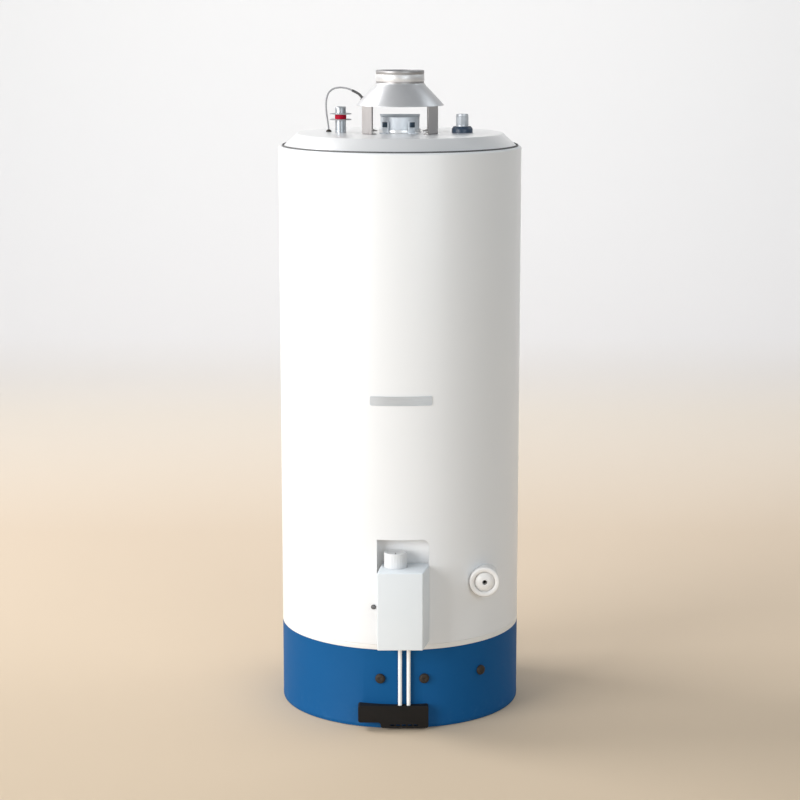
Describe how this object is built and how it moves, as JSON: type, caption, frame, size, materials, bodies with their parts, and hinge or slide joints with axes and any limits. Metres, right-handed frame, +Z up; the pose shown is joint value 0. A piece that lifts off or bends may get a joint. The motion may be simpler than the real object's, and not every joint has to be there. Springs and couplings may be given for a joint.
{
  "type": "tank water heater",
  "caption": "Floor-standing gas-fired tank water heater: tall round jacket on a skirt, draught hood on the lid, front gas control with knob, burner access cover and drain cock.",
  "frame": {"origin": "on the floor, on the axis of the round tank and flue, in the plane of the base pan's foot", "axes": "+Z up along the tank and flue axis; the front with the gas control faces -Y; +X is to the right seen from the front"},
  "size_m": [0.4999, 0.555, 1.323],
  "materials": {
    "galvanised": "zinc coated, dull",
    "black_steel": "heat-proof black, matt",
    "screw_zinc": "zinc plated",
    "burner_steel": "aluminised steel, dull",
    "brass": "plain",
    "tube_white": "white enamel, satin",
    "ceramic_white": "glazed",
    "lead_grey": "grey sheath, matt",
    "copper": "copper, plain",
    "die_cast": "die cast",
    "knob_plastic": "satin, fluted side",
    "cover_plastic": "satin",
    "recess_white": "satin",
    "igniter_plastic": "satin",
    "button_plastic": "satin",
    "tank_steel": "vitreous enamel inside, dark primer outside",
    "flue_steel": "enamelled, dull",
    "lid_white": "white enamel, satin",
    "jacket_white": "white enamel, satin",
    "screw_dark": "blued",
    "foam": "rigid foam",
    "badge": "blank, satin",
    "seal_grey": "matt",
    "trim": "satin",
    "skirt_blue": "satin",
    "rubber_brown": "matt",
    "cover_black": "satin",
    "collar_navy": "satin",
    "dip_plastic": "plain",
    "hot_steel": "satin",
    "red_rubber": "matt",
    "anode": "magnesium, dull",
    "drain_white": "satin",
    "hood_steel": "aluminised steel, satin",
    "spigot_steel": "dull",
    "band_steel": "satin",
    "leg_steel": "satin",
    "sensor_black": "satin"
  },
  "bodies": {
    "heater": {"base_pan": "galvanised", "chamber_wall": "galvanised", "burner_door": "black_steel", "door_screws": "screw_zinc", "burner_head": "burner_steel", "mixing_tube": "burner_steel", "injector": "brass", "burner_bracket": "galvanised", "gas_feed_tube": "tube_white", "pilot_feed_tube": "tube_white", "pilot_burner": "brass", "spark_electrode": "ceramic_white", "spark_lead": "lead_grey", "thermocouple": "copper", "gas_valve_body": "die_cast", "valve_cover": "cover_plastic", "valve_recess_pan": "recess_white", "thermostat_probe": "brass", "igniter_body": "igniter_plastic", "tank_shell": "tank_steel", "tank_top_head": "tank_steel", "tank_bottom_head": "tank_steel", "flue_tube": "flue_steel", "flue_baffle": "flue_steel", "flue_clips": "lid_white", "clip_screws": "screw_dark", "insulation": "foam", "jacket": "jacket_white", "badge_plate": "badge", "lid": "lid_white", "lid_seal": "seal_grey", "trim_ring": "trim", "skirt": "skirt_blue", "skirt_plugs": "rubber_brown", "cold_nipple": "galvanised", "cold_collar": "collar_navy", "dip_tube": "dip_plastic", "hot_nipple": "hot_steel", "hot_gasket": "red_rubber", "hot_tail": "hot_steel", "anode_rod": "anode", "anode_cap": "lid_white", "drain_nipple": "brass", "drain_body": "drain_white", "drain_shroud": "drain_white", "hood_cone": "hood_steel", "hood_spigot": "spigot_steel", "spigot_band": "band_steel", "hood_legs": "leg_steel", "hood_deflector": "hood_steel", "spill_sensor": "sensor_black", "sensor_lead": "lead_grey"},
    "spindle": {"valve_spindle": "screw_zinc"},
    "knob": {"control_knob": "knob_plastic"},
    "igniter_plunger": {"igniter_button": "button_plastic"},
    "sight_flap": {"sight_shutter": "black_steel"},
    "drain_handle": {"drain_wheel": "drain_white"},
    "drain_plug": {"drain_jumper": "rubber_brown"},
    "air_sleeve": {"air_shutter": "brass"},
    "front_cover": {"access_cover": "cover_black"}
  },
  "joints": [
    {"name": "knob_press", "type": "slide", "parent": "heater", "child": "spindle", "axis": [0, 0, -1], "range_m": [0, 0.005], "stiffness_N_per_m": 600, "springref_m": -0.01},
    {"name": "knob_turn", "type": "hinge", "parent": "spindle", "child": "knob", "pos_m": [-0.009, -0.25, 0.35], "axis": [0, 0, 1], "range_deg": [0, 270]},
    {"name": "igniter_press", "type": "slide", "parent": "heater", "child": "igniter_plunger", "axis": [0, 1, 0], "range_m": [0, 0.0032], "stiffness_N_per_m": 800, "springref_m": -0.004},
    {"name": "sight_flap_swing", "type": "hinge", "parent": "heater", "child": "sight_flap", "pos_m": [-0.05032, -0.20182, 0.06], "axis": [-0.2419, -0.9703, 0], "range_deg": [-75, 75]},
    {"name": "drain_turn", "type": "hinge", "parent": "heater", "child": "drain_handle", "pos_m": [0.1724, -0.211, 0.3], "axis": [0, -1, 0], "range_deg": [0, 360]},
    {"name": "drain_lift", "type": "slide", "parent": "heater", "child": "drain_plug", "axis": [0, -1, 0], "range_m": [0, 0.0036]},
    {"name": "air_adjust", "type": "hinge", "parent": "heater", "child": "air_sleeve", "pos_m": [0, -0.157, 0.034], "axis": [0, 1, 0], "range_deg": [0, 60]},
    {"name": "cover_pull", "type": "slide", "parent": "heater", "child": "front_cover", "axis": [0, -1, 0], "range_m": [0, 0.12]}
  ],
  "couplings": [
    {"joint": "drain_lift", "follows": "drain_turn", "m_per_rad": 0.000557}
  ]
}
